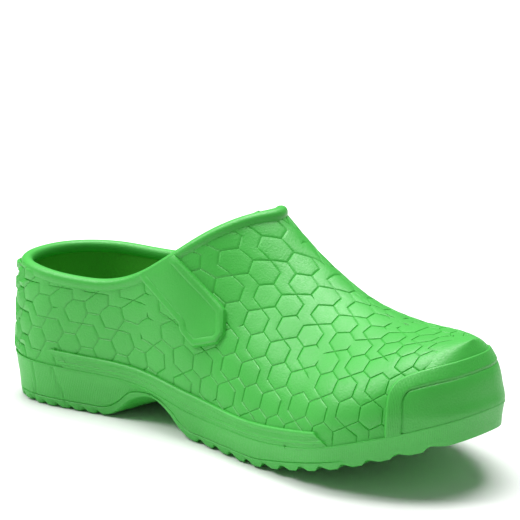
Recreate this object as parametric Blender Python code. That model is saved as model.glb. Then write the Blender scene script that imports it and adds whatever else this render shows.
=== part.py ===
"""Right-foot garden clog in one colour of foam rubber, with a loose footbed.

The toe points to +X, the outer side of the foot is -Y, the floor is z = 0. The tables below
are in millimetres, with stations counted from the heel, and MM turns them into metres. The
whole wall lies on one surface: at each station along the foot its section is half a
superellipse that stands on the parting line. The finished clog is centred on the origin.
"""
import math

import bmesh
import bpy
import numpy as np

MM = 0.001
LENGTH = 278.0          # heel to toe along the stations
OUTER, INNER = -1, 1    # outer and inner side of the foot

# Height tables: (station, millimetres above the floor)
PARTING = [(0, 23.5), (50, 22), (90, 21), (125, 15), (165, 14.5), (205, 18.5), (245, 30), (278, 40)]
BAND_TOP = [(0, 32), (50, 30.5), (90, 29.5), (125, 25), (165, 22.5), (205, 26.5), (245, 35.5), (278, 46)]
RIDGE = [(0, 152), (60, 152), (100, 140), (138, 110.5), (160, 93), (190, 77), (220, 69.5), (250, 69),
         (278, 70)]
TOPLINE = [(0, 71.5), (20, 70.5), (45, 68.5), (65, 69), (85, 75.5), (105, 89), (125, 105), (138, 112.5)]
FLOOR = [(0, 34), (50, 32), (90, 33), (125, 28), (165, 25), (205, 28), (245, 38), (278, 46)]
TREAD = [(0, 5), (12, 0), (62, 0), (74, 4.5), (80, 10), (87, 13.5), (94, 15), (103, 12.5), (109, 9),
         (117, 3), (126, 0), (170, 0), (185, 2), (207, 6.5), (232, 13), (255, 20.5), (278, 27.5)]

# Plan tables: centre line and half widths
CENTRE = [(0, -8), (70, 6), (150, 14), (220, 6), (278, 0.5)]
HALF_WIDTH = {
    OUTER: [(0, 39), (45, 40.5), (85, 42.5), (125, 51.5), (165, 61.5), (205, 63), (245, 57.5), (278, 50.5)],
    INNER: [(0, 36), (45, 37), (85, 38), (125, 39.5), (165, 44.5), (205, 47.5), (245, 42), (278, 31)],
}
HEEL_REACH, HEEL_POWER = 40.0, 2.3
TOE_REACH, TOE_POWER = {OUTER: 66.0, INNER: 70.0}, 2.5
SECTION_POWER = [(0, 3.4), (60, 3.1), (100, 2.5), (138, 1.7), (180, 1.65), (230, 2.25), (278, 3.2)]

# Profile of the heel's back and of the toe's front: (height, shift along X)
HEEL_PROFILE = [(0, 3), (25, -2), (45, -1), (65, -0.5), (85, 2), (110, 7)]
TOE_PROFILE = [(0, -3), (20, -1.5), (35, -2), (40, -2), (46, -3.5), (55, -6), (63, -10.5), (70, -15)]

WALL = 4.5              # thickness of the upper
GAP = 0.3               # clearance between neighbouring nodes
PROUD = 1.0             # how far band, bumper and tabs stand off the upper
BEAD_RADIUS = 3.1       # rim round the foot opening
INSOLE_THICK = 5.0
INSOLE_CLEAR = 3.0      # room round the footbed, so that it lifts past the rim
FLEX_STATION = 150.0    # where the footbed bends as its heel end is lifted
TOOTH_PITCH, TOOTH_DEPTH = 11.0, 2.0
HEEL_TEETH, FORE_TEETH = (14.0, 58.0), (132.0, 264.0)
BUMPER_BACK, BUMPER_SHOULDER = 248.5, 49.0
BAND_END = [(213.0, 28.2), (222.0, 20.0)]   # slanted front end of the belt, top to bottom
TAB_OUTLINE = [(88, 77), (116, 58.5), (118, 54), (125.5, 49), (141, 53), (144, 57), (141.5, 66), (111, 92)]

GREEN = (0.094, 0.47, 0.115)
DEEP_GREEN = (0.055, 0.36, 0.07)


def smooth(table, x):
    """Smooth curve through the rows of a table, level at each row that is a high or low point."""
    rows = np.asarray(table, float)
    at, value = rows[:, 0], rows[:, 1]
    step = np.diff(at)
    slope = np.diff(value) / step
    tangent = np.empty_like(value)
    tangent[0], tangent[-1] = slope[0], slope[-1]
    tangent[1:-1] = (slope[:-1] * step[1:] + slope[1:] * step[:-1]) / (step[1:] + step[:-1])
    tangent[1:-1][slope[:-1] * slope[1:] <= 0] = 0
    x = min(max(x, at[0]), at[-1])
    i = min(max(int(np.searchsorted(at, x)) - 1, 0), len(at) - 2)
    h = step[i]
    t = (x - at[i]) / h
    ends = (2 * t**3 - 3 * t**2 + 1) * value[i] + (3 * t**2 - 2 * t**3) * value[i + 1]
    return ends + (t**3 - 2 * t**2 + t) * h * tangent[i] + (t**3 - t**2) * h * tangent[i + 1]


def half_width(x, side, off):
    """Half width at the parting line, closed to nothing at heel and toe."""
    heel = min(max((HEEL_REACH - x) / HEEL_REACH, 0), 1)
    toe = min(max((x - LENGTH + TOE_REACH[side]) / TOE_REACH[side], 0), 1)
    close = (1 - heel**HEEL_POWER) ** (1 / HEEL_POWER) * (1 - toe**TOE_POWER) ** (1 / TOE_POWER)
    return (smooth(HALF_WIDTH[side], x) + off) * close


def rise(x, z):
    """Section angle at which the upper's surface passes the height z."""
    low, high = smooth(PARTING, x), smooth(RIDGE, x)
    share = min(max((z - low) / (high - low), 0), 1)
    return math.asin(share ** (smooth(SECTION_POWER, x) / 2))


def surface(x, angle, side, off=0.0):
    """Point at a distance off outside the upper; angle 0 is the parting line, pi/2 the ridge."""
    power = smooth(SECTION_POWER, x)
    y = smooth(CENTRE, x) + side * half_width(x, side, off) * max(math.cos(angle), 0) ** (2 / power)
    low, high = smooth(PARTING, x), smooth(RIDGE, x) + off
    z = low + (high - low) * math.sin(angle) ** (2 / power)
    x += off * (2 * x / LENGTH - 1)
    near_heel = max(1 - x / 90, 0) ** 1.5
    near_toe = max(1 - (LENGTH - x) / 70, 0) ** 1.5
    x += near_heel * smooth(HEEL_PROFILE, z) + near_toe * smooth(TOE_PROFILE, z)
    return np.array((x, y, z))


def topline_angle(x):
    """Section angle of the foot opening's edge, or of the ridge where the foot is covered."""
    if x >= 138:
        return math.pi / 2
    return rise(x, smooth(TOPLINE, x))


def stations(count=40, extra=()):
    """Stations from heel to toe, closer together where the outline turns."""
    even = [LENGTH * (1 - math.cos(math.pi * i / count)) / 2 for i in range(count + 1)]
    return sorted(even + list(extra))


def ring(xs, height, inset=0.0):
    """Closed outline at height(x), moved inwards by inset: outer side to the toe, then back."""
    turn = [(x, OUTER) for x in xs] + [(x, INNER) for x in xs[-2:0:-1]]
    points = np.array([surface(x, rise(x, height(x)), side, -inset) for x, side in turn])
    points[:, 2] = [height(x) for x, _ in turn]
    return points


def material(name, colour, roughness):
    """Foam rubber of one colour."""
    made = bpy.data.materials.new(name)
    made.use_nodes = True
    shader = made.node_tree.nodes["Principled BSDF"]
    shader.inputs["Base Color"].default_value = (*colour, 1)
    shader.inputs["Roughness"].default_value = roughness
    shader.inputs["Metallic"].default_value = 0
    made.diffuse_color = (*colour, 1)
    return made


def add_object(name, points, faces, home, mat=None):
    """Mesh object from points in millimetres, with its faces turned outwards."""
    mesh = bpy.data.meshes.new(name)
    mesh.from_pydata([tuple(p * MM) for p in points], [], faces)
    shape = bmesh.new()
    shape.from_mesh(mesh)
    bmesh.ops.remove_doubles(shape, verts=shape.verts, dist=1e-6)
    bmesh.ops.recalc_face_normals(shape, faces=shape.faces)
    shape.to_mesh(mesh)
    shape.free()
    made = bpy.data.objects.new(name, mesh)
    home.objects.link(made)
    if mat:
        mesh.materials.append(mat)
    return made


def loft(name, rings, home, mat=None):
    """Solid through a stack of outlines, closed below and above between its two sides."""
    n = len(rings[0])
    faces = []
    for level in range(len(rings) - 1):
        low, high = level * n, (level + 1) * n
        for i in range(n):
            j = (i + 1) % n
            faces.append((low + i, low + j, high + j, high + i))
    half = n // 2
    for start, turn in ((0, True), ((len(rings) - 1) * n, False)):
        for i in range(half):
            left = [start + i, start + i + 1]
            right = [start + (n - i - 1) % n, start + (n - i) % n]
            corners = list(dict.fromkeys(left + right))
            faces.append(tuple(corners[::-1] if turn else corners))
    return add_object(name, np.concatenate(rings), faces, home, mat)


def upper_wall(name, home, low, high, mat=None, rows=12):
    """Wall of the upper between two distances from its outer surface, open at the top."""
    xs = stations(extra=(126, 131, 134.5, 136.5))
    columns = [(x, OUTER) for x in xs] + [(x, INNER) for x in xs[-2:0:-1]]
    points = []
    for off in (high, low):
        for x, side in columns:
            top = topline_angle(x)
            points += [surface(x, top * (k / rows) ** 0.85, side, off) for k in range(rows + 1)]
    size = rows + 1
    inside = len(columns) * size
    faces = []
    for i, (x, side) in enumerate(columns):
        following = (i + 1) % len(columns)
        a, b = i * size, following * size
        for k in range(rows):
            faces.append((a + k, b + k, b + k + 1, a + k + 1))
            faces.append((inside + a + k, inside + a + k + 1, inside + b + k + 1, inside + b + k))
        faces.append((a, inside + a, inside + b, b))
        if min(x, columns[following][0]) < 138:
            faces.append((a + rows, b + rows, inside + b + rows, inside + a + rows))
    return add_object(name, np.array(points), faces, home, mat)


def side_prism(name, outline, cutters, ys=(-90, 90)):
    """Cutter that is a side-view outline (x, z) drawn out across the clog."""
    n = len(outline)
    points = np.array([(x, y, z) for y in ys for x, z in outline])
    faces = [tuple(range(n)), tuple(range(2 * n - 1, n - 1, -1))]
    faces += [(i, (i + 1) % n, n + (i + 1) % n, n + i) for i in range(n)]
    made = add_object(name, points, faces, cutters)
    made.hide_render = True
    made.display_type = "WIRE"
    return made


def boolean(target, operation, cutter):
    """Cut or trim one solid with another."""
    step = target.modifiers.new(f"{operation.lower()} {cutter.name}", "BOOLEAN")
    step.operation = operation
    step.solver = "EXACT"
    step.object = cutter


def belt_outline(grow):
    """Side view of all that lies under the belt's top edge, back from its slanted front end."""
    line = [(x, smooth(BAND_TOP, x) + grow) for x in np.linspace(0, BAND_END[0][0], 40)]
    end = [(x + grow, z) for x, z in BAND_END]
    return [(-30, line[0][1])] + line + end[1:] + [(end[1][0], -30), (-30, -30)]


def bumper_outline(grow):
    """Side view of the toe bumper: straight back edge, rounded shoulder, rising top edge."""
    back, shoulder = BUMPER_BACK - grow, BUMPER_SHOULDER + grow
    corner = [(back, shoulder), (back + 1.0, shoulder + 3.8), (back + 4.0, shoulder + 7.2)]
    return [(back, -20)] + corner + [(265, 61.6 + grow), (300, 67.8 + grow), (300, -20)]


def bead_path():
    """Middle of the wall along the edge of the foot opening."""
    xs = [136.2 * (1 - math.cos(math.pi * i / 26)) / 2 for i in range(27)]
    turn = [(x, OUTER) for x in xs] + [(x, INNER) for x in xs[-1:0:-1]]
    points = []
    for x, side in turn:
        here = surface(x, topline_angle(x), side)
        centre = np.array((x if 40 < x < 118 else min(max(x, 40), 118), smooth(CENTRE, x), here[2]))
        inward = centre - here
        inward[2] = 0
        points.append(here + inward / np.linalg.norm(inward) * WALL / 2)
    return points


def bead(name, radius, home, mat=None):
    """Round rim, made a mesh so that it can also cut the wall under it."""
    curve = bpy.data.curves.new(name, "CURVE")
    curve.dimensions = "3D"
    curve.bevel_depth = radius * MM
    curve.bevel_resolution = 3
    points = bead_path()
    spline = curve.splines.new("POLY")
    spline.points.add(len(points) - 1)
    for spot, place in zip(spline.points, points):
        spot.co = (*(place * MM), 1)
    spline.use_cyclic_u = True
    rail = bpy.data.objects.new(name + "_rail", curve)
    home.objects.link(rail)
    bpy.context.view_layer.update()
    mesh = bpy.data.meshes.new_from_object(rail.evaluated_get(bpy.context.evaluated_depsgraph_get()))
    bpy.data.objects.remove(rail)
    shape = bmesh.new()
    shape.from_mesh(mesh)
    bmesh.ops.remove_doubles(shape, verts=shape.verts, dist=1e-6)
    bmesh.ops.recalc_face_normals(shape, faces=shape.faces)
    shape.to_mesh(mesh)
    shape.free()
    mesh.materials.clear()
    if mat:
        mesh.materials.append(mat)
    made = bpy.data.objects.new(name, mesh)
    home.objects.link(made)
    return made


def tooth_stations(zone):
    """Stations of the flat lands of one tread zone."""
    count = int((zone[1] - zone[0]) / TOOTH_PITCH)
    return [zone[0] + i * TOOTH_PITCH for i in range(count)]


def outsole(home, mat):
    """Sole below the parting line with its toothed tread, and the bed that the footbed lies on."""
    lands = tooth_stations(HEEL_TEETH) + tooth_stations(FORE_TEETH)
    land, slope = 0.42 * TOOTH_PITCH, 0.14 * TOOTH_PITCH
    cuts = []
    for x in lands:
        cuts += [(x, 0), (x + land, 0), (x + land + slope, TOOTH_DEPTH), (x + TOOTH_PITCH - slope, TOOTH_DEPTH)]
    taken = [x for x, _ in cuts]
    free = [x for x in stations(44) if min(abs(x - t) for t in taken) > 3 or x < 12 or x > 266]
    depth = dict(cuts)
    xs = sorted(set(free + taken))

    def tread(x):
        return smooth(TREAD, x) + depth.get(x, 0)

    def parting(x):
        return smooth(PARTING, x) - GAP

    def bed(x):
        return smooth(FLOOR, x)

    def shoulder(x):
        return max(min(smooth(TREAD, x) + 3.5, parting(x) - 1.5), tread(x) + 0.5)

    rings = [
        ring(xs, tread, 3.5),
        ring(xs, shoulder, 1.2),
        ring(xs, parting, -PROUD),
        ring(xs, parting, WALL + 1.6),
        ring(xs, bed, WALL + 1.0),
    ]
    return loft("outsole", rings, home, mat)


def insole(name, first, last, home, mat):
    """One rigid stretch of the loose footbed, between two stations."""
    xs = sorted({first, last} | {x for x in stations(44) if first + 2 < x < last - 2})

    def top(x):
        return smooth(FLOOR, x) + INSOLE_THICK

    points = []
    for lift, inset in ((GAP, WALL + INSOLE_CLEAR + 1), (INSOLE_THICK, WALL + INSOLE_CLEAR)):
        for side in (OUTER, INNER):
            for x in xs:
                place = surface(x, rise(x, top(x)), side, -inset)
                place[2] = smooth(FLOOR, x) + lift
                points.append(place)
    n = len(xs)
    low_outer, low_inner, high_outer, high_inner = 0, n, 2 * n, 3 * n
    faces = []
    for i in range(n - 1):
        faces.append((low_outer + i, low_inner + i, low_inner + i + 1, low_outer + i + 1))
        faces.append((high_outer + i, high_outer + i + 1, high_inner + i + 1, high_inner + i))
        faces.append((low_outer + i, low_outer + i + 1, high_outer + i + 1, high_outer + i))
        faces.append((low_inner + i, high_inner + i, high_inner + i + 1, low_inner + i + 1))
    for i in (0, n - 1):
        faces.append((low_outer + i, high_outer + i, high_inner + i, low_inner + i))
    return add_object(name, np.array(points), faces, home, mat)


def upper_parts(home, cutters, green):
    """The wall of the clog, divided where the moulding has its steps."""
    rim_cut = bead("rim_cutter", BEAD_RADIUS + GAP, cutters)
    rim_cut.hide_render = True
    rim_cut.display_type = "WIRE"
    belt = side_prism("belt_shape", belt_outline(0), cutters)
    belt_room = side_prism("belt_room", belt_outline(GAP), cutters)
    toe = side_prism("bumper_shape", bumper_outline(0), cutters)
    toe_room = side_prism("bumper_room", bumper_outline(GAP), cutters)

    shell = upper_wall("upper_shell", home, -WALL, 0, green)
    boolean(shell, "DIFFERENCE", belt_room)
    boolean(shell, "DIFFERENCE", toe_room)
    boolean(shell, "DIFFERENCE", rim_cut)

    band = upper_wall("rand_band", home, -WALL, PROUD, green)
    boolean(band, "INTERSECT", belt)

    bumper = upper_wall("toe_bumper", home, -WALL, PROUD, green)
    boolean(bumper, "INTERSECT", toe)

    for name, ys in (("side_tab_outer", (-90, 0)), ("side_tab_inner", (5, 90))):
        outline = side_prism(name + "_shape", TAB_OUTLINE, cutters, ys)
        tab = upper_wall(name, home, GAP, GAP + PROUD, green)
        boolean(tab, "INTERSECT", outline)
        boolean(tab, "DIFFERENCE", rim_cut)


def centre_on(widest):
    """Move every part and cutter so that the widest part is centred over the origin."""
    corners = np.array([tuple(corner) for corner in widest.bound_box])
    middle = (corners.min(0) + corners.max(0)) / 2
    for made in bpy.data.objects:
        made.location = (-middle[0], -middle[1], 0)


def main():
    for old in list(bpy.data.objects):
        bpy.data.objects.remove(old)
    home = bpy.data.collections.new("garden_clog")
    cutters = bpy.data.collections.new("cutters")
    bpy.context.scene.collection.children.link(home)
    bpy.context.scene.collection.children.link(cutters)
    green = material("foam_green", GREEN, 0.45)
    bed_green = material("footbed_green", DEEP_GREEN, 0.6)

    outsole(home, green)
    upper_parts(home, cutters, green)
    bead("collar_bead", BEAD_RADIUS, home, green)
    insole("insole_forefoot", FLEX_STATION + GAP, LENGTH, home, bed_green)
    insole("insole_heel", 0.0, FLEX_STATION - GAP, home, bed_green)
    centre_on(bpy.data.objects["outsole"])


main()
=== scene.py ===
import math

import bpy
import numpy as np
from mathutils import Matrix, Vector


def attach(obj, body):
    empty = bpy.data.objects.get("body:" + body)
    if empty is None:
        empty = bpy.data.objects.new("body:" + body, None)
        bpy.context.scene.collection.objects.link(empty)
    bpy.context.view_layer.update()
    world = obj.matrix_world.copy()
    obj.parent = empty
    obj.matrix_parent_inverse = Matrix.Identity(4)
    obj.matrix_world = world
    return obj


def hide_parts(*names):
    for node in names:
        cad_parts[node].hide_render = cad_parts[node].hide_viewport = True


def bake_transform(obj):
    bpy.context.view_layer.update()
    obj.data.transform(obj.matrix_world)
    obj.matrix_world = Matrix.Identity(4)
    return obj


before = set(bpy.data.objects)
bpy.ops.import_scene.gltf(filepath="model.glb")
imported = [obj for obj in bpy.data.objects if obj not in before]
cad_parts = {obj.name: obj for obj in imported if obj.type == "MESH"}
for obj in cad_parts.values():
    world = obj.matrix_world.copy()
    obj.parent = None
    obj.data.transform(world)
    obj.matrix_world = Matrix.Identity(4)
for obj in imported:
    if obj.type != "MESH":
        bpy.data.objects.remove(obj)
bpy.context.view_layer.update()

mm = 0.001
toRowFrame = (136.97952, 0.97351, 0.0)   # the stations' zero, seen from the row frame, in mm
outer, inner = -1, 1

# The clog's lines, in mm: (station from the heel, value)
partingLine = [(0, 23.5), (50, 22), (90, 21), (125, 15), (165, 14.5), (205, 18.5), (245, 30), (278, 40)]
beltTopLine = [(0, 32), (50, 30.5), (90, 29.5), (125, 25), (165, 22.5), (205, 26.5), (245, 35.5), (278, 46)]
ridgeLine = [(0, 152), (60, 152), (100, 140), (138, 110.5), (160, 93), (190, 77), (220, 69.5), (250, 69),
             (278, 70)]
topLine = [(0, 71.5), (20, 70.5), (45, 68.5), (65, 69), (85, 75.5), (105, 89), (125, 105), (138, 112.5)]
bedLine = [(0, 34), (50, 32), (90, 33), (125, 28), (165, 25), (205, 28), (245, 38), (278, 46)]
treadLine = [(0, 5), (12, 0), (62, 0), (74, 4.5), (80, 10), (87, 13.5), (94, 15), (103, 12.5), (109, 9),
             (117, 3), (126, 0), (170, 0), (185, 2), (207, 6.5), (232, 13), (255, 20.5), (278, 27.5)]
middleLine = [(0, -8), (70, 6), (150, 14), (220, 6), (278, 0.5)]
outerHalfWidth = [(0, 39), (45, 40.5), (85, 42.5), (125, 51.5), (165, 61.5), (205, 63), (245, 57.5),
                  (278, 50.5)]
innerHalfWidth = [(0, 36), (45, 37), (85, 38), (125, 39.5), (165, 44.5), (205, 47.5), (245, 42), (278, 31)]
wallPower = [(0, 3.4), (60, 3.1), (100, 2.5), (138, 1.7), (180, 1.65), (230, 2.25), (278, 3.2)]
heelProfile = [(0, 3), (25, -2), (45, -1), (65, -0.5), (85, 2), (110, 7)]
toeProfile = [(0, -3), (20, -1.5), (35, -2), (40, -2), (46, -3.5), (55, -6), (63, -10.5), (70, -15)]
clogLength = 278.0


def along(table, x):   # smooth curve through a table's rows, level at its high and low points
    rows = np.asarray(table, float)
    at, value = rows[:, 0], rows[:, 1]
    step = np.diff(at)
    slope = np.diff(value) / step
    lean = np.empty_like(value)
    lean[0], lean[-1] = slope[0], slope[-1]
    lean[1:-1] = (slope[:-1] * step[1:] + slope[1:] * step[:-1]) / (step[1:] + step[:-1])
    lean[1:-1][slope[:-1] * slope[1:] <= 0] = 0
    x = np.clip(x, at[0], at[-1])
    i = np.clip(np.searchsorted(at, x) - 1, 0, len(at) - 2)
    h = step[i]
    t = (x - at[i]) / h
    ends = (2 * t**3 - 3 * t**2 + 1) * value[i] + (3 * t**2 - 2 * t**3) * value[i + 1]
    return ends + (t**3 - 2 * t**2 + t) * h * lean[i] + (t**3 - t**2) * h * lean[i + 1]


def halfWidth(x, side, off=0.0):
    wide = np.where(side < 0, along(outerHalfWidth, x), along(innerHalfWidth, x)) + off
    toeReach = np.where(side < 0, 66.0, 70.0)
    heel = np.clip((40 - x) / 40, 0, 1)
    toe = np.clip((x - clogLength + toeReach) / toeReach, 0, 1)
    return wide * (1 - heel**2.3) ** (1 / 2.3) * (1 - toe**2.5) ** (1 / 2.5)


def runAlong(spots):   # length from the first point to each of the others
    return np.concatenate(([0], np.cumsum(np.linalg.norm(np.diff(spots, axis=0), axis=1))))


def angleAt(x, z):     # section angle where the wall passes the height z
    low, high = along(partingLine, x), along(ridgeLine, x)
    return np.arcsin(np.clip((z - low) / (high - low), 0, 1) ** (along(wallPower, x) / 2))


def wall(x, angle, side, off=0.0):   # point on the wall, or off mm outside it
    x, angle, side, off = np.broadcast_arrays(*(np.asarray(v, float) for v in (x, angle, side, off)))
    power = along(wallPower, x)
    y = along(middleLine, x) + side * halfWidth(x, side, off) * np.clip(np.cos(angle), 0, 1) ** (2 / power)
    low, high = along(partingLine, x), along(ridgeLine, x) + off
    z = low + (high - low) * np.clip(np.sin(angle), 0, 1) ** (2 / power)
    x = x + off * (2 * x / clogLength - 1)
    x = x + np.clip(1 - x / 90, 0, 1) ** 1.5 * along(heelProfile, z)
    x = x + np.clip(1 - (clogLength - x) / 70, 0, 1) ** 1.5 * along(toeProfile, z)
    return np.stack((x, y, z), -1)


def topAngle(x):
    return np.where(x >= 138, math.pi / 2, angleAt(x, along(topLine, x)))


# Girth of every section, so that a flat pattern can be laid on the wall without stretching
sectionAt = clogLength * (1 - np.cos(np.linspace(0, math.pi, 301))) / 2
shareGrid = np.linspace(0, 1, 401)
angleGrid = math.pi / 4 * (1 - np.cos(np.linspace(0, math.pi, 241)))


def girthTables(side):
    spots = wall(sectionAt[:, None], angleGrid[None, :], side)
    spots[:, :, 0] = 0
    run = np.array([runAlong(section) for section in spots])
    angles = np.array([np.interp(shareGrid, r / r[-1], angleGrid) for r in run])
    return run, angles


girthRun, girthAngles = {}, {}
for side in (outer, inner):
    girthRun[side], girthAngles[side] = girthTables(side)
outerGirth = girthRun[outer][:, -1]


def onGrid(table, x, share):
    i = np.clip(np.searchsorted(sectionAt, x) - 1, 0, len(sectionAt) - 2)
    a = np.clip((x - sectionAt[i]) / (sectionAt[i + 1] - sectionAt[i]), 0, 1)
    s = np.clip(share, 0, 1) * (len(shareGrid) - 1)
    k = np.clip(s.astype(int), 0, len(shareGrid) - 2)
    b = s - k
    low = table[i, k] * (1 - b) + table[i, k + 1] * b
    high = table[i + 1, k] * (1 - b) + table[i + 1, k + 1] * b
    return low * (1 - a) + high * a


def girthTo(x, angle):   # outer girth from the parting line up to an angle
    return np.array([
        np.interp(t, angleGrid, girthRun[outer][min(int(np.searchsorted(sectionAt, s)), 300)])
        for s, t in zip(np.atleast_1d(x), np.atleast_1d(angle))])


# Length round the heel, on along the side and round the toe, seen from above
roundAt = np.linspace(0, 60, 400) ** 2 / 60
roundSpots = np.stack((roundAt, halfWidth(roundAt, np.full(400, outer))), -1)
roundRun = runAlong(roundSpots)
heelRun = roundRun[-1]
tipFrom = 236.0
tipAt = clogLength - (clogLength - tipFrom) * np.linspace(1, 0, 400) ** 2
tipSpots = np.stack((tipAt, halfWidth(tipAt, np.full(400, outer))), -1)
tipRun = runAlong(tipSpots) + heelRun + tipFrom - 60
endRun = tipRun[-1]


def stationOf(run):
    straight = np.where(run < heelRun, np.interp(run, roundRun, roundAt), 60 + run - heelRun)
    return np.where(run > tipRun[0], np.interp(run, tipRun, tipAt), straight)


overToe = (62.0, 35.0)   # height where the pattern starts to run straight on, and how soon it does so wholly
pastTip = 0.3            # how fast the stations still rise past the tip


def stationAt(run, height):   # as stationOf, but straight on over the top of the toe
    share = np.clip((height - overToe[0]) / overToe[1], 0, 1) * (run > tipRun[0])
    share = share * share * (3 - 2 * share)
    rounded = stationOf(run) + pastTip * np.maximum(run - endRun, 0)
    return rounded * (1 - share) + (60 + run - heelRun) * share


def runOf(x):
    return np.where(x < 60, np.interp(x, roundAt, roundRun), heelRun + x - 60)


# --- small tools ---
def deselectAll():
    for o in bpy.context.selected_objects:
        o.select_set(False)


def addSheet(name, columns, rows):   # flat grid; gives it and each vertex's place on it, 0 to 1
    deselectAll()
    bpy.ops.mesh.primitive_grid_add(x_subdivisions=columns, y_subdivisions=rows, size=1)
    sheet = bpy.context.object
    sheet.name = sheet.data.name = name
    spots = readPoints(sheet)
    return sheet, spots[:, 0] + 0.5, spots[:, 1] + 0.5


def readPoints(piece):
    spots = np.empty(len(piece.data.vertices) * 3)
    piece.data.vertices.foreach_get("co", spots)
    return spots.reshape(-1, 3)


def writePoints(piece, spots):
    piece.data.vertices.foreach_set("co", np.ascontiguousarray(spots, float).ravel())
    piece.data.update()


def putOnClog(piece, spots):   # from stations in mm to the row frame in metres
    writePoints(piece, (np.asarray(spots) - toRowFrame) * mm)


def inEditMode(piece, *steps):
    deselectAll()
    piece.select_set(True)
    bpy.context.view_layer.objects.active = piece
    bpy.ops.object.mode_set(mode="EDIT")
    bpy.ops.mesh.select_mode(type="VERT")
    bpy.ops.mesh.select_all(action="SELECT")
    for step in steps:
        step()
    bpy.ops.object.mode_set(mode="OBJECT")


def onFaces(piece, chosen, operator):   # runs an edit-mode operator on the chosen faces alone
    for part in (piece.data.vertices, piece.data.edges):
        part.foreach_set("select", [False] * len(part))
    piece.data.polygons.foreach_set("select", chosen)
    deselectAll()
    piece.select_set(True)
    bpy.context.view_layer.objects.active = piece
    bpy.ops.object.mode_set(mode="EDIT")
    bpy.ops.mesh.select_mode(type="FACE")
    operator()
    bpy.ops.object.mode_set(mode="OBJECT")


def weld(distance=0.00002):
    bpy.ops.mesh.remove_doubles(threshold=distance)
    bpy.ops.mesh.select_all(action="SELECT")
    bpy.ops.mesh.dissolve_degenerate(threshold=distance / 2)
    bpy.ops.mesh.select_all(action="SELECT")


def turnOutwards():
    bpy.ops.mesh.select_all(action="SELECT")
    bpy.ops.mesh.normals_make_consistent(inside=False)


def applyModifier(piece, kind, **settings):
    step = piece.modifiers.new(kind.lower(), kind)
    for name, value in settings.items():
        setattr(step, name, value)
    bpy.context.view_layer.objects.active = piece
    bpy.ops.object.modifier_apply(modifier=step.name)


def thicken(piece, thick, towards=-1):
    applyModifier(piece, "SOLIDIFY", thickness=thick, offset=towards, use_even_offset=False)
    inEditMode(piece, weld, turnOutwards)


def smoothShade(piece, degrees=32):
    deselectAll()
    piece.select_set(True)
    bpy.context.view_layer.objects.active = piece
    bpy.ops.object.shade_smooth_by_angle(angle=math.radians(degrees))


def finishPiece(piece, material, slotName, *nodes, body="clog"):
    piece.data.materials.clear()
    piece.data.materials.append(material)
    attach(piece, body)
    if nodes:
        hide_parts(*nodes)
    print("made", piece.name, len(piece.data.polygons), "faces")


# --- materials ---
def fromHex(code):
    parts = [int(code[i:i + 2], 16) / 255 for i in (1, 3, 5)]
    return tuple(p / 12.92 if p <= 0.04045 else ((p + 0.055) / 1.055) ** 2.4 for p in parts) + (1.0,)


def addNode(material, kind, settings=None, values=None, links=None):
    node = material.node_tree.nodes.new(kind)
    for name, value in (settings or {}).items():
        setattr(node, name, value)
    for name, value in (values or {}).items():
        node.inputs[name].default_value = value
    for name, source in (links or {}).items():
        material.node_tree.links.new(source, node.inputs[name])
    return node


foamSettings = {
    "colour": "#37AF38", "shade": "#34AA35", "grainMm": 0.9, "cloudMm": 26.0,
    "roughness": (0.42, 0.58), "grainDepth": 0.00016,
}


# EVA foam from a sand-blasted steel mould: a satin skin with a fine leather-like grain, its dye slightly
# cloudy; where the mould was cut with fine ribs they catch the light as thin lines
def mouldedFoam(name, look, ribDepth=0.0):
    made = bpy.data.materials.new(name)
    made.use_nodes = True
    shader = made.node_tree.nodes["Principled BSDF"]
    place = addNode(made, "ShaderNodeTexCoord").outputs["Object"]
    cloud = addNode(made, "ShaderNodeTexNoise", values={"Scale": 1000 / look["cloudMm"], "Detail": 3.0},
                    links={"Vector": place})
    grain = addNode(made, "ShaderNodeTexNoise", values={"Scale": 1000 / look["grainMm"], "Detail": 2.0},
                    links={"Vector": place})
    tint = addNode(made, "ShaderNodeValToRGB", links={"Fac": cloud.outputs["Fac"]})
    tint.color_ramp.elements[0].position, tint.color_ramp.elements[1].position = 0.35, 0.65
    tint.color_ramp.elements[0].color = fromHex(look["shade"])
    tint.color_ramp.elements[1].color = fromHex(look["colour"])
    smooth, rough = look["roughness"]
    gloss = addNode(made, "ShaderNodeMapRange", links={"Value": grain.outputs["Fac"]},
                    values={"From Min": 0.3, "From Max": 0.7, "To Min": smooth, "To Max": rough})
    bump = addNode(made, "ShaderNodeBump", values={"Strength": 1.0, "Distance": look["grainDepth"]},
                   links={"Height": grain.outputs["Fac"]})
    if ribDepth:
        ribMap = addNode(made, "ShaderNodeUVMap")
        parts = addNode(made, "ShaderNodeSeparateXYZ", links={"Vector": ribMap.outputs["UV"]})
        turn = addNode(made, "ShaderNodeMath", {"operation": "MULTIPLY"}, {1: 2 * math.pi},
                       {0: parts.outputs["X"]})
        wave = addNode(made, "ShaderNodeMath", {"operation": "SINE"}, links={0: turn.outputs["Value"]})
        rib = addNode(made, "ShaderNodeMath", {"operation": "MULTIPLY"},
                      links={0: wave.outputs["Value"], 1: parts.outputs["Y"]})
        bump = addNode(made, "ShaderNodeBump", values={"Strength": 1.0, "Distance": ribDepth},
                       links={"Height": rib.outputs["Value"], "Normal": bump.outputs["Normal"]})
    links = made.node_tree.links
    links.new(tint.outputs["Color"], shader.inputs["Base Color"])
    links.new(gloss.outputs["Result"], shader.inputs["Roughness"])
    links.new(bump.outputs["Normal"], shader.inputs["Normal"])
    shader.inputs["IOR"].default_value = 1.5
    shader.inputs["Specular IOR Level"].default_value = 0.7
    return made


foam = mouldedFoam("moulded EVA foam", foamSettings)
ribbedFoam = mouldedFoam("ribbed moulded EVA foam", foamSettings, ribDepth=0.00004)
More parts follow.
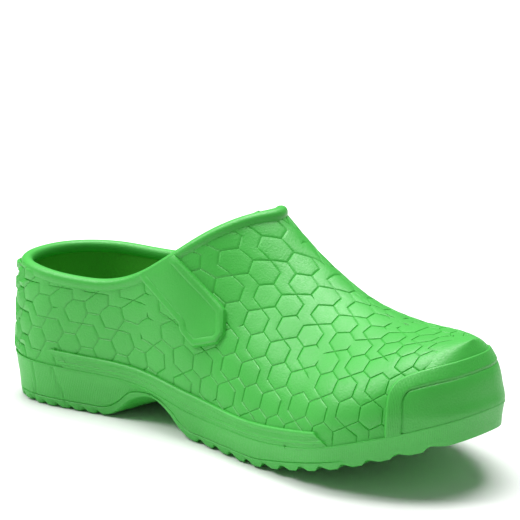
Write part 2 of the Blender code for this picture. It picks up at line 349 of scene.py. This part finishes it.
# the same foam inside the clog, where the smooth core of the mould leaves it matt; its slightly darker,
# warmer green is painted shade for the inside of the clog
liningPaintedShade = mouldedFoam("moulded EVA foam lining", dict(
    foamSettings, colour="#45A924", shade="#41A321", roughness=(0.58, 0.68)))
# softer foam sheet, die-cut and heat-pressed: matt, open-pored and slightly darker than the clog
footbedFoam = mouldedFoam("pressed EVA footbed foam", dict(
    foamSettings, colour="#3C9E2A", shade="#379626", grainMm=0.6, cloudMm=14.0,
    roughness=(0.72, 0.84), grainDepth=0.00022))


def markRibs(sheet, phase, share):   # how many ribs have passed, and how strong they are, as UV map
    corner = np.empty(len(sheet.data.loops), int)
    sheet.data.loops.foreach_get("vertex_index", corner)
    sheet.data.uv_layers[0].data.foreach_set("uv", np.stack((phase[corner], share[corner]), -1).ravel())


# --- hexagon-patterned upper ---
skinSettings = {
    "hexSide": 7.1, "grooveHalfWidth": 0.55, "grooveDepth": 0.5, "edgeRound": 0.4, "thick": 1.6,
    "guideStart": 38.0, "bendFrom": 96.0, "bendTo": 150.0, "bendAngle": -30.0, "fanReach": 18.0,
    "heelSquash": 0.9, "underBumper": (258.0, 18.0), "underNose": 268.0,   # (from station, up to this height)
    "heelReach": 26.0, "heelPads": 18.0, "heelGrooves": 2.5, "heelLift": 0.5,
    "flushWithin": 2.5, "flushStand": 0.4,
    "pillow": 0.1, "edgeGone": 0.015, "halfEdgeGone": 0.04, "seed": 7, "shift": (1.5, 3.0), "fineFrom": 252.0,
}


def guideCurve(look):   # line that the rows of hexagons follow, in the wall laid flat
    u = np.linspace(-60, 420, 1921)
    t = np.clip((u - look["bendFrom"]) / (look["bendTo"] - look["bendFrom"]), 0, 1)
    turn = math.radians(look["bendAngle"]) * t * t * (3 - 2 * t)
    squash = look["heelSquash"] + (1 - look["heelSquash"]) * np.clip(u / 110, 0, 1)
    step = np.gradient(u)
    across = np.cumsum(np.cos(turn) * squash * step)
    down = np.cumsum(np.sin(turn) * step)
    start = int(np.argmin(np.abs(u)))
    return u, across - across[start], down - down[start] + look["guideStart"], turn


def laidFlat(spots, look):   # pattern plane to the wall laid flat: (length, height)
    u, across, down, turn = guideCurve(look)
    angle = np.interp(spots[:, 0], u, turn)
    last = math.radians(look["bendAngle"])
    reach = np.minimum(spots[:, 1], look["fanReach"])
    beyond = spots[:, 1] - reach
    length = np.interp(spots[:, 0], u, across) - reach * np.sin(angle) - beyond * math.sin(last)
    height = np.interp(spots[:, 0], u, down) + reach * np.cos(angle) + beyond * math.cos(last)
    return length, height


def isHexCentre(a, b):   # pairs of hexagons in rows, with a bent cell left between the pairs
    j = -np.floor_divide(b, 3)
    first = (b % 3 == 0) & ((a - j) % 3 == 0)
    k = -np.floor_divide(b + 1, 3)
    second = (b % 3 == 2) & ((a - 2 - k) % 3 == 0)
    return first | second


def cellOf(centres, side):   # which hexagon each small face lies in, 0 for the bent cells
    b = centres[:, 1] / (side * math.sqrt(3) / 2)
    a = centres[:, 0] / side - b / 2
    ia, ib = np.floor(a).astype(int), np.floor(b).astype(int)
    upper = (a - ia) + (b - ib) > 1
    corners = [(ia + 1, ib), (ia, ib + 1), (np.where(upper, ia + 1, ia), np.where(upper, ib + 1, ib))]
    cell = np.zeros(len(centres), int)
    for ca, cb in corners:
        hit = isHexCentre(ca, cb)
        cell[hit] = (ca[hit] + 500) * 2000 + cb[hit] + 500
    return cell


def wallLimits(x):   # lowest and highest height of the pattern, laid flat
    low = along(partingLine, x)
    top = low + np.where(x >= 138, np.interp(x, sectionAt, outerGirth), np.interp(x, topStations, topGirths))
    return low - 0.1, top


topStations = np.linspace(0, 138, 139)
topGirths = girthTo(topStations, topAngle(topStations))


def patternSheet(look):
    side = look["hexSide"]
    low, high, left, right = -11, 30, -19, 64
    sheet, across, up = addSheet("upperSkin", right - left, high - low)
    b = low + up * (high - low)
    a = left + across * (right - left)
    writePoints(sheet, np.stack(((a + b / 2) * side, b * side * math.sqrt(3) / 2, b * 0), -1))
    inEditMode(sheet,
               lambda: bpy.ops.mesh.quads_convert_to_tris(quad_method="SHORTEST_DIAGONAL"),
               lambda: bpy.ops.mesh.subdivide(number_cuts=1))
    dropOutside(sheet, look, 0.5)
    splitCells(sheet, look)
    engrave(sheet, look)
    dropOutside(sheet, look, -0.01)
    refineToe(sheet, look)
    return sheet


def refineToe(sheet, look):   # smaller faces where the wall turns hard round the toe
    x = stationAt(*laidFlat(shifted(readPoints(sheet), look), look))
    nearToe = [bool(min(x[i] for i in f.vertices) > look["fineFrom"]) for f in sheet.data.polygons]
    onFaces(sheet, nearToe, lambda: bpy.ops.mesh.subdivide(number_cuts=3))


def shifted(spots, look):
    return spots[:, :2] + np.array(look["shift"])


def dropOutside(sheet, look, margin):   # faces wholly off the wall, or deep under the bumper or the nose
    length, height = laidFlat(shifted(readPoints(sheet), look), look)
    x = stationAt(length, height)
    low, top = wallLimits(np.clip(x, 0, clogLength))
    bumperFrom, bumperCover = look["underBumper"]
    under = ((x > bumperFrom) & (height < along(partingLine, x) + bumperCover)) | (x > look["underNose"])
    pastEnds = (length < -margin) | (x > clogLength + pastTip * margin)
    gone = pastEnds | (height < low - margin) | (height > top + margin) | under
    wholly = [bool(all(gone[i] for i in f.vertices)) for f in sheet.data.polygons]
    onFaces(sheet, wholly, lambda: bpy.ops.mesh.delete(type="FACE"))


def splitCells(sheet, look):
    mesh = sheet.data
    centres = np.array([f.center[:] for f in mesh.polygons])
    cell = cellOf(centres, look["hexSide"])
    spots = readPoints(sheet)
    faceOf = {}
    for f in mesh.polygons:
        for key in f.edge_keys:
            faceOf.setdefault(key, []).append(cell[f.index])
    chance = np.random.default_rng(look["seed"])
    wholeGone, halfGone = {}, {}
    mesh.vertices.foreach_set("select", [False] * len(mesh.vertices))
    mesh.polygons.foreach_set("select", [False] * len(mesh.polygons))
    side = look["hexSide"]
    for e in mesh.edges:
        here = faceOf.get(tuple(sorted(e.vertices)), [])
        border = len(here) == 2 and here[0] != here[1]
        if border:
            ends = [spots[v] for v in e.vertices]
            middle = None
            for p in ends:
                b = p[1] / (side * math.sqrt(3) / 2)
                a = p[0] / side - b / 2
                if abs(a - round(a)) > 0.2 or abs(b - round(b)) > 0.2:
                    middle = (round(p[0], 2), round(p[1], 2))
            if middle not in wholeGone:
                wholeGone[middle] = chance.random() < look["edgeGone"]
                halfGone[middle] = chance.random() < look["halfEdgeGone"]
            elif halfGone[middle]:
                border = False
            if wholeGone[middle]:
                border = False
        e.select = border
    deselectAll()
    sheet.select_set(True)
    bpy.context.view_layer.objects.active = sheet
    bpy.ops.object.mode_set(mode="EDIT")
    bpy.ops.mesh.select_mode(type="EDGE")
    bpy.ops.mesh.edge_split(type="EDGE")
    bpy.ops.object.mode_set(mode="OBJECT")


def rimOf(mesh):
    count = {}
    for f in mesh.polygons:
        for key in f.edge_keys:
            count[key] = count.get(key, 0) + 1
    return {v for key, n in count.items() if n == 1 for v in key}


def engrave(sheet, look):   # grooves with a slightly rounded shoulder round every cell
    inEditMode(sheet, lambda: bpy.ops.mesh.select_mode(type="FACE"),
               lambda: bpy.ops.mesh.inset(thickness=look["grooveHalfWidth"], use_even_offset=False),
               lambda: bpy.ops.mesh.inset(thickness=look["edgeRound"], use_even_offset=False))
    mesh = sheet.data
    rim = rimOf(mesh)
    shoulder = set()
    for e in mesh.edges:
        p, q = e.vertices
        if (p in rim) != (q in rim):
            shoulder.add(q if p in rim else p)
    for i in rim:
        mesh.vertices[i].co.z = -look["grooveDepth"]
    for i in shoulder:
        mesh.vertices[i].co.z = -0.12 * look["grooveDepth"]
    ring = set()
    for e in mesh.edges:
        p, q = e.vertices
        if (p in shoulder) != (q in shoulder):
            ring.add(q if p in shoulder else p)
    for v in mesh.vertices:
        if v.index not in rim and v.index not in shoulder and v.index not in ring:
            v.co.z = look["pillow"]
    inEditMode(sheet, lambda: bpy.ops.mesh.remove_doubles(threshold=0.002))


def layOnWall(sheet, look, side):
    spots = readPoints(sheet)
    length, height = laidFlat(shifted(spots, look), look)
    x = np.clip(stationAt(np.maximum(length, 0), height), 0, clogLength)
    low, top = wallLimits(x)
    height = np.clip(height, low, top)
    share = (height - along(partingLine, x)) / np.interp(x, sectionAt, outerGirth)
    angle = onGrid(girthAngles[side], x, share)
    nearHeel = np.clip(1 - x / look["heelReach"], 0, 1)
    growth = np.where(spots[:, 2] > 0, look["heelPads"], look["heelGrooves"])
    stand = spots[:, 2] * (1 + growth * nearHeel) + look["heelLift"] * nearHeel
    flush = np.clip((height - low) / look["flushWithin"], 0, 1)   # no groove runs out at the parting line
    putOnClog(sheet, wall(x, angle, side, stand * flush + look["flushStand"] * (1 - flush)))


def joinPieces(name, pieces):
    deselectAll()
    for piece in pieces:
        piece.select_set(True)
    bpy.context.view_layer.objects.active = pieces[0]
    bpy.ops.object.join()
    pieces[0].name = pieces[0].data.name = name
    return pieces[0]


def makeSkin():
    look = skinSettings
    outerSheet = patternSheet(look)
    innerSheet = outerSheet.copy()
    innerSheet.data = outerSheet.data.copy()
    bpy.context.scene.collection.objects.link(innerSheet)
    layOnWall(outerSheet, look, outer)
    layOnWall(innerSheet, look, inner)
    inEditMode(innerSheet, lambda: bpy.ops.mesh.flip_normals())
    skin = joinPieces("upperSkin", [outerSheet, innerSheet])
    inEditMode(skin, lambda: weld(0.00003), turnOutwards)
    thicken(skin, look["thick"] * mm)
    smoothShade(skin, 28)
    finishPiece(skin, foam, "clog_foam", "upper_shell")


makeSkin()
print("upper skin done")

# --- lining of the upper ---
liningSettings = {"columns": 240, "rows": 20, "middle": -3.3, "thick": 2.4}


def makeLining():
    look = liningSettings
    sheet, s, t = addSheet("upperLining", look["columns"], look["rows"])
    x = clogLength * (1 - np.cos(2 * math.pi * s)) / 2
    side = np.where(s <= 0.5, outer, inner)
    low = angleAt(x, along(bedLine, x) + 0.6)
    angle = low + (topAngle(x) - low) * t**0.9
    putOnClog(sheet, wall(x, angle, side, look["middle"]))
    inEditMode(sheet, lambda: weld(0.00003), turnOutwards)
    thicken(sheet, look["thick"] * mm, 0)
    smoothShade(sheet, 40)
    # the lining takes the foam with painted shade: a slightly darker, warmer green
    finishPiece(sheet, liningPaintedShade, "clog_foam", "upper_shell")


makeLining()

# --- rim round the foot opening ---
rimSettings = {"points": 260, "round": 24, "halfWide": 3.1, "halfTall": 3.3, "soften": 30, "peakSwell": 0.22,
               "peakForward": 2.6, "peakDrop": 1.2, "peakSpread": 0.035, "lastStation": 137.6, "inward": 2.25}


def rimPath(look):   # middle of the wall along the opening, its peak rounded
    s = np.linspace(0, 1, 700, endpoint=False)
    x = look["lastStation"] * (1 - np.cos(2 * math.pi * s)) / 2
    spots = wall(x, topAngle(x), np.where(s <= 0.5, outer, inner), -look["inward"])
    loop = np.concatenate((spots, spots[:1]))
    run = runAlong(loop)
    even = np.linspace(0, run[-1], look["points"], endpoint=False)
    path = np.stack([np.interp(even, run, loop[:, k]) for k in range(3)], -1)
    for _ in range(look["soften"]):
        path = 0.5 * path + 0.25 * (np.roll(path, 1, 0) + np.roll(path, -1, 0))
    return path


def makeRim():
    look = rimSettings
    sheet, s, t = addSheet("collarRim", look["points"], look["round"])
    path = rimPath(look)
    ahead = np.roll(path, -1, 0) - np.roll(path, 1, 0)
    ahead /= np.linalg.norm(ahead, axis=1)[:, None]
    upward = np.array((0, 0, 1.0)) - ahead * ahead[:, 2:3]
    upward /= np.linalg.norm(upward, axis=1)[:, None]
    across = np.cross(ahead, upward)
    i = np.rint(s * look["points"]).astype(int) % look["points"]
    turn = 2 * math.pi * t
    nearPeak = np.exp(-((s - 0.5) / look["peakSpread"]) ** 2)
    peak = 1 + look["peakSwell"] * nearPeak
    wide = look["halfWide"] * np.sign(np.cos(turn)) * np.abs(np.cos(turn)) ** 0.85
    tall = look["halfTall"] * np.sign(np.sin(turn)) * np.abs(np.sin(turn)) ** 0.85
    spots = path[i] + across[i] * (wide * peak)[:, None] + upward[i] * (tall * peak)[:, None]
    spots[:, 0] += look["peakForward"] * nearPeak
    spots[:, 2] -= look["peakDrop"] * nearPeak
    putOnClog(sheet, spots)
    inEditMode(sheet, weld, turnOutwards)
    smoothShade(sheet, 60)
    finishPiece(sheet, foam, "clog_foam", "collar_bead")


makeRim()

# --- side tabs ---
tabSettings = {
    "back": [(88.3, 77.2), (116, 58.5), (117.5, 54.5), (125.5, 49)],
    "front": [(106.6, 89.9), (138.5, 67), (141, 57.5), (138.5, 53)],
    "border": [(0, -0.5), (0.4, 1.1), (0.8, 1.25), (2.3, 1.25), (2.7, 1.15), (3.2, 0.8)], "thick": 1.2,
}


def pointAlong(line, far):   # points at given distances from the end of a line
    spots = np.array(line, float)[::-1]
    run = runAlong(spots)
    return np.stack([np.interp(far, run, spots[:, k]) for k in (0, 1)], -1), run[-1]


def makeTab(name, side, node):   # strip with a raised border on both long edges and round its lower end
    look = tabSettings
    marks = [d for d, _ in look["border"]]
    backLength, frontLength = pointAlong(look["back"], 0)[1], pointAlong(look["front"], 0)[1]
    rest = list(np.linspace(0, 1, 26)[1:])
    far = np.array(marks + [marks[-1] + (backLength - marks[-1]) * r for r in rest])
    farFront = np.array(marks + [marks[-1] + (frontLength - marks[-1]) * r for r in rest])
    backSpots, frontSpots = pointAlong(look["back"], far)[0], pointAlong(look["front"], farFront)[0]
    inside = list(np.linspace(0, 1, 10)[1:-1])
    columns = len(marks) * 2 + len(inside)
    sheet, s, t = addSheet(name, columns - 1, len(far) - 1)
    i, j = np.rint(s * (columns - 1)).astype(int), np.rint(t * (len(far) - 1)).astype(int)
    width = np.linalg.norm(frontSpots - backSpots, axis=1)[j]
    fromBack = np.array(marks + [0] * (columns - len(marks)))[i]
    fromFront = np.array([0] * (columns - len(marks)) + marks[::-1])[i]
    middle = np.array([0] * len(marks) + inside + [0] * len(marks))[i]
    first, last = i < len(marks), i >= columns - len(marks)
    share = np.where(first, fromBack / width, np.where(last, 1 - fromFront / width, 0))
    span = 1 - 2 * marks[-1] / width
    share = np.where(first | last, share, marks[-1] / width + middle * span)
    spots = backSpots[j] + (frontSpots[j] - backSpots[j]) * share[:, None]
    deep = np.minimum(np.minimum(share * width, (1 - share) * width), far[j])
    stand = np.interp(deep, marks, [h for _, h in look["border"]])
    x, z = spots[:, 0], spots[:, 1]
    top = along(topLine, x)
    fade = np.clip((top - z - 1.0) / 4, 0, 1)
    stand = np.where(deep > 0, 0.35 + (stand - 0.35) * fade, stand)
    angle = np.minimum(angleAt(x, z), topAngle(x))
    putOnClog(sheet, wall(x, angle, side, stand))
    if side < 0:
        inEditMode(sheet, lambda: bpy.ops.mesh.flip_normals())
    thicken(sheet, look["thick"] * mm)
    smoothShade(sheet, 24)
    finishPiece(sheet, foam, "clog_foam", node)


makeTab("sideTabOuter", outer, "side_tab_outer")
makeTab("sideTabInner", inner, "side_tab_inner")

# --- belt above the parting line ---
beltSettings = {
    "columns": 230, "heel": (36.5, 45.0), "toe": (213.0, 222.0), "thick": 2.6,
    "fromBelow": [(-0.4, 0.85), (1.6, 0.9), (1.9, 1.35), (2.5, 1.5), (3.0, 1.35), (3.3, 0.92)],
    "fromAbove": [(-3.2, 0.95), (-2.6, 1.0), (-2.1, 1.45), (-1.3, 1.85), (-0.6, 1.85), (-0.12, 1.45),
                  (0.0, -0.5)],
}


def makeBelt(side):
    look = beltSettings
    rows = [(0, d, h) for d, h in look["fromBelow"]] + [(1, d, h) for d, h in look["fromAbove"]]
    name = "beltOuter" if side < 0 else "beltInner"
    sheet, s, t = addSheet(name, look["columns"], len(rows) - 1)
    j = np.rint(t * (len(rows) - 1)).astype(int)
    top, drop, stand = (np.array([r[k] for r in rows])[j] for k in range(3))
    i = np.rint(s * look["columns"])
    last = look["columns"]
    firstRun, lastRun = runOf(np.array(look["heel"][0])), runOf(np.array(look["toe"][0]))
    run = firstRun + (lastRun - firstRun) * s
    run = np.where(i == 1, firstRun + 0.4, np.where(i == last - 1, lastRun - 0.4, run))   # close to both ends
    x = stationOf(run)
    low, high = along(partingLine, x) + 0.25, along(beltTopLine, x)
    z = np.where(top > 0, high, low) + drop
    lean = np.clip((high - z) / (high - low), 0, 1)
    x = x + lean * ((look["toe"][1] - look["toe"][0]) * np.clip((s - 0.9) * 10, 0, 1)
                    + (look["heel"][1] - look["heel"][0]) * np.clip(1 - s * 12, 0, 1))
    low, high = along(partingLine, x) + 0.25, along(beltTopLine, x)
    z = np.where(top > 0, high, low) + drop
    stand = np.where((i == 0) | (i == last), -0.5, stand)
    putOnClog(sheet, wall(x, angleAt(x, z), side, stand))
    if side > 0:
        inEditMode(sheet, lambda: bpy.ops.mesh.flip_normals())
    thicken(sheet, look["thick"] * mm)
    smoothShade(sheet, 35)
    finishPiece(sheet, foam, "clog_foam", "rand_band")


makeBelt(outer)
makeBelt(inner)

# --- toe bumper ---
bumperSettings = {
    "columns": 260, "rows": 76, "back": 248.5, "corner": 6.0, "stand": 1.0,
    "borderTop": 6.5, "borderBack": 2.0, "borderCorner": 11.0, "thick": 2.6,
    "topEdge": [(248.5, 55.3), (256, 58.8), (265, 61.6), (278, 63.9)],
    "ribPitch": 0.85,
}


def roundedDistance(q, v, corner):   # distance in from the back edge and the top edge, corner rounded
    near = corner - np.hypot(np.maximum(corner - q, 0), np.maximum(corner - v, 0))
    return np.where((q > corner) & (v > corner), np.minimum(q, v), near)


def makeBumper():
    look = bumperSettings
    sheet, s, t = addSheet("toeBumper", look["columns"], look["rows"])
    at = look["back"] + (clogLength - look["back"]) * (1 - (1 - np.linspace(0, 1, 500)) ** 2)
    runs = {}
    for side in (outer, inner):
        spots = np.stack((at, halfWidth(at, np.full(500, side))), -1)
        runs[side] = runAlong(spots)
    long, short = runs[outer][-1], runs[inner][-1]
    run = s * (long + short)
    side = np.where(run <= long, outer, inner)
    q = np.where(run <= long, run, long + short - run)
    x = np.where(run <= long, np.interp(q, runs[outer], at), np.interp(q, runs[inner], at))
    topLineHere = along(look["topEdge"], x)
    corner = look["corner"]
    rounding = corner - np.sqrt(np.maximum(corner ** 2 - np.maximum(corner - q, 0) ** 2, 0))
    low = along(partingLine, x) - 0.4
    tEased = 1 - (1 - t) ** 1.25
    z = low + (topLineHere - rounding - low) * tEased
    v = topLineHere - z
    d = roundedDistance(q, v, look["corner"])
    edge = np.clip(d / 1.0, 0, 1)
    stand = -0.5 + (look["stand"] + 0.5) * np.sqrt(1 - (1 - edge) ** 2)
    d2 = roundedDistance(q - look["borderBack"], v, look["borderCorner"])
    border = np.clip((look["borderTop"] + 0.4 - d2) / 0.8, 0, 1)
    stand = stand + 0.35 * border * np.clip(d / 1.0, 0, 1)
    stand = stand - 0.55 * np.exp(-((d2 - look["borderTop"] - 0.2) / 0.5) ** 2)
    putOnClog(sheet, wall(x, angleAt(x, z), side, stand))
    markRibs(sheet, run / look["ribPitch"], border * np.clip(d - 0.8, 0, 1))
    inEditMode(sheet, lambda: weld(0.00001))
    thicken(sheet, look["thick"] * mm)
    smoothShade(sheet, 45)
    finishPiece(sheet, ribbedFoam, "clog_foam", "toe_bumper")


makeBumper()

# --- smooth nose of the upper above the bumper, where the stations run together ---
noseSettings = {
    "back": 262.0, "columns": 160, "rows": 30, "below": 3.0, "stand": 0.7, "sunk": 0.6,
    "fade": 3.0, "soften": 150, "thick": 1.4,
}


def makeNose():
    look = noseSettings
    sheet, s, t = addSheet("toeNose", look["columns"], look["rows"])
    away = 1 - np.abs(2 * s - 1)          # 0 at both back ends, 1 at the tip
    x = clogLength - (clogLength - look["back"]) * (1 - away) ** 2
    side = np.where(s <= 0.5, outer, inner)
    low = angleAt(x, along(bumperSettings["topEdge"], x) - look["below"])
    angle = low + (math.pi / 2 - low) * t
    stand = -look["sunk"] + (look["stand"] + look["sunk"]) * np.clip((x - look["back"]) / look["fade"], 0, 1)
    putOnClog(sheet, wall(x, angle, side, stand))
    inEditMode(sheet, lambda: weld(0.00001), turnOutwards,
               lambda: bpy.ops.mesh.vertices_smooth(factor=0.5, repeat=look["soften"]))
    thicken(sheet, look["thick"] * mm)
    smoothShade(sheet, 60)
    finishPiece(sheet, foam, "clog_foam", "upper_shell")


makeNose()

# --- sole ---
soleSettings = {
    "heelTeeth": (8.0, 64.0, 8.0), "foreTeeth": (124.0, 273.0, 12.3), "toothDepth": 1.9, "archFill": 5.0,
    "sideRings": [(0.33, -0.3), (0.66, 0.5)], "ribPitch": 1.1, "creaseDepth": 0.75,
    "creases": [[(3, 22.7), (13, 25.7), (24, 25.3)], [(3, 42.8), (24, 36.8)]],   # (height, station)
}


def toothRise(x, look):   # saw profile: flat land, quick step up, slow slope back down
    rise = np.zeros_like(x)
    for first, last, pitch in (look["heelTeeth"], look["foreTeeth"]):
        count = math.floor((last - first) / pitch)
        phase = (x - first) / pitch
        inside = (phase >= 0) & (phase < count)
        part = phase - np.floor(phase)
        saw = np.where(part < 0.62, 1, (1 - part) / 0.38)
        saw = np.where(part < 0.38, 0, np.where(part < 0.5, (part - 0.38) / 0.12, saw))
        rise = np.where(inside, saw * look["toothDepth"], rise)
    return rise


def soleStations(look):
    marks = []
    for first, last, pitch in (look["heelTeeth"], look["foreTeeth"]):
        for k in range(math.floor((last - first) / pitch)):
            marks += [first + pitch * (k + part) for part in (0, 0.38, 0.5, 0.62)]
    even = list(clogLength * (1 - np.cos(np.linspace(0, math.pi, 170))) / 2)
    even += list(np.arange(21.5, 27, 0.45)) + list(np.arange(36, 44, 0.45))
    apart = [x for x in even if min(abs(x - m) for m in marks) > 0.2 or x < 2 or x > 276]
    return np.array(sorted(marks + apart))


def creased(x, z, look):   # shallow lines down the side of the heel block
    deep = np.zeros_like(x)
    for line in look["creases"]:
        heights, stations = zip(*line)
        deep = np.maximum(deep, np.exp(-((x - np.interp(z, heights, stations)) / 0.5) ** 2))
    return deep * look["creaseDepth"]


def makeSole():
    look = soleSettings
    sideFirst, sideLast = 9, 11   # the rings below that carry the fine ribs
    xs = soleStations(look)
    x = np.concatenate((xs, xs[::-1]))
    side = np.concatenate((np.full(len(xs), outer), np.full(len(xs), inner)))
    parting, tread, bed = along(partingLine, x), along(treadLine, x), along(bedLine, x)
    saw = toothRise(x, look)
    deep = parting - tread
    lineAt = tread + np.minimum(4.3, 0.42 * deep)
    rings = []

    toe = 1 - 0.6 * np.clip((x - 235) / 30, 0, 1)

    def ring(z, inset, share=1.0, visible=False):
        if visible:
            inset = inset * toe - 0.8 * (1 - toe) + creased(x, z, look)
        spots = wall(x, angleAt(x, z), side, -inset)
        spots[:, 2] = z
        middle = (spots + spots[::-1]) / 2
        middle[:, 2] = spots[:, 2]
        rings.append(middle + (spots - middle) * share)

    ring(bed, 5.5, 0.0)
    ring(bed, 5.5, 0.5)
    ring(bed, 5.5)
    ring(parting - 0.3, 6.1)
    ring(parting - 0.3, 0.0)
    ring(parting + 0.15, -0.85)
    ring(parting + 0.1, -1.15)
    ring(parting - 0.45, -1.2)
    ring(parting - 0.6, -0.95, visible=True)
    for share, inset in look["sideRings"]:
        ring(parting - 0.6 + (lineAt + 0.6 - parting + 0.6) * share, inset, visible=True)
    groove = 0.55 * np.clip((235 - x) / 20, 0, 1)
    ring(lineAt + 0.5, 1.0, visible=True)
    ring(lineAt, 1.05 + groove, visible=True)
    ring(lineAt - 0.5, 1.1, visible=True)
    ring(np.minimum(tread + saw + 0.6, lineAt - 0.7), 1.6, visible=True)
    ring(tread + saw, 2.3)
    ring(tread + saw, 3.4)
    hollow = look["archFill"] * np.clip(np.minimum(x - 70, 116 - x) / 12, 0, 1)
    ring(tread + saw - 0.6 * hollow, 3.6, 0.88)
    ring(tread + saw - hollow, 3.6, 0.7)
    ring(tread + saw - hollow, 3.6, 0.0)
    sheet, s, t = addSheet("sole", len(x), len(rings) - 1)
    i = np.rint(s * len(x)).astype(int) % len(x)
    j = np.rint(t * (len(rings) - 1)).astype(int)
    putOnClog(sheet, np.array(rings)[j, i])
    outline = np.array(rings)[sideFirst]
    passed = runAlong(np.concatenate((outline, outline[:1])))[np.rint(s * len(x)).astype(int)]
    onSide = ((j >= sideFirst) & (j <= sideLast)).astype(float)
    markRibs(sheet, passed / look["ribPitch"], onSide)
    inEditMode(sheet, lambda: weld(0.00001), turnOutwards)
    smoothShade(sheet, 30)
    finishPiece(sheet, ribbedFoam, "clog_foam", "outsole")


makeSole()

# --- footbed ---
footbedSettings = {"columns": 170, "rows": 56, "inset": 7.0, "lift": 5.0, "thick": 4.4, "cup": 1.2}


def makeFootbed():
    look = footbedSettings
    sheet, s, t = addSheet("footbed", look["columns"], look["rows"])
    x = clogLength * (1 - np.cos(math.pi * s)) / 2
    top = along(bedLine, x) + look["lift"]
    edges = [wall(x, angleAt(x, top), np.full(len(x), side), -look["inset"]) for side in (outer, inner)]
    spots = edges[0] + (edges[1] - edges[0]) * t[:, None]
    across = np.abs(2 * t - 1)
    inFromEnds = np.clip(np.minimum(x, clogLength - x) / 30, 0, 1)
    spots[:, 2] = top - look["cup"] * (1 - across**4) * inFromEnds - 0.2
    rib = np.cos(2 * math.pi * spots[:, 0] / 4.2)
    spots[:, 2] += 0.25 * np.clip(rib, -0.4, 0.4) * np.clip((0.86 - across) / 0.05, 0, 1)
    putOnClog(sheet, spots)
    inEditMode(sheet, lambda: weld(0.00001))
    thicken(sheet, look["thick"] * mm)
    smoothShade(sheet, 40)
    sheet.data.materials.clear()
    sheet.data.materials.append(footbedFoam)
    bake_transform(sheet)
    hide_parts("insole_heel", "insole_forefoot")
    print("made footbed", len(sheet.data.polygons), "faces")


makeFootbed()

# --- camera, floor and light ---
viewSettings = {
    "azimuth": 37.0, "elevation": 14.5, "distance": 1.300, "lens": 180.5, "roll": 1.06,
    "target": (-0.0041, 0.0059, 0.0852),
}


def addCamera(look):
    a, e, roll = (math.radians(look[k]) for k in ("azimuth", "elevation", "roll"))
    back = np.array((math.sin(a) * math.cos(e), -math.cos(a) * math.cos(e), math.sin(e)))
    right = np.array((math.cos(a), math.sin(a), 0))
    up = np.cross(back, right)
    right, up = right * math.cos(roll) + up * math.sin(roll), up * math.cos(roll) - right * math.sin(roll)
    spot = np.array(look["target"]) + back * look["distance"]
    made = bpy.data.cameras.new("camera")
    made.lens = look["lens"]
    made.sensor_width = 36
    camera = bpy.data.objects.new("camera", made)
    bpy.context.scene.collection.objects.link(camera)
    matrix = np.eye(4)
    matrix[:3, 0], matrix[:3, 1], matrix[:3, 2], matrix[:3, 3] = right, up, back, spot
    camera.matrix_world = Matrix(matrix.tolist())
    bpy.context.scene.camera = camera


def addFloor():
    deselectAll()
    bpy.ops.mesh.primitive_plane_add(size=14, location=(0, 0, -0.0005))
    floor = bpy.context.object
    floor.name = "floor"
    paper = bpy.data.materials.new("matt white paper")
    paper.use_nodes = True
    shader = paper.node_tree.nodes["Principled BSDF"]
    shader.inputs["Base Color"].default_value = fromHex("#F2F2F2")
    shader.inputs["Roughness"].default_value = 0.9
    floor.data.materials.append(paper)


def addLamp(name, spot, size, power):
    made = bpy.data.lights.new(name, "AREA")
    made.size = size
    made.energy = power
    lamp = bpy.data.objects.new(name, made)
    bpy.context.scene.collection.objects.link(lamp)
    aim = Vector((0, 0, 0.05)) - Vector(spot)
    lamp.rotation_euler = aim.to_track_quat("-Z", "Y").to_euler()
    lamp.location = spot


addCamera(viewSettings)
addFloor()
world = bpy.data.worlds.new("studio")
bpy.context.scene.world = world
world.use_nodes = True
world.node_tree.nodes["Background"].inputs["Color"].default_value = (1, 1, 1, 1)
world.node_tree.nodes["Background"].inputs["Strength"].default_value = 0.22
addLamp("key", (-1.2, -0.8, 1.6), 0.9, 27)
addLamp("overhead", (-0.2, 0.4, 2.0), 1.5, 60)
bpy.context.scene.view_settings.view_transform = "Standard"
print("stage done")
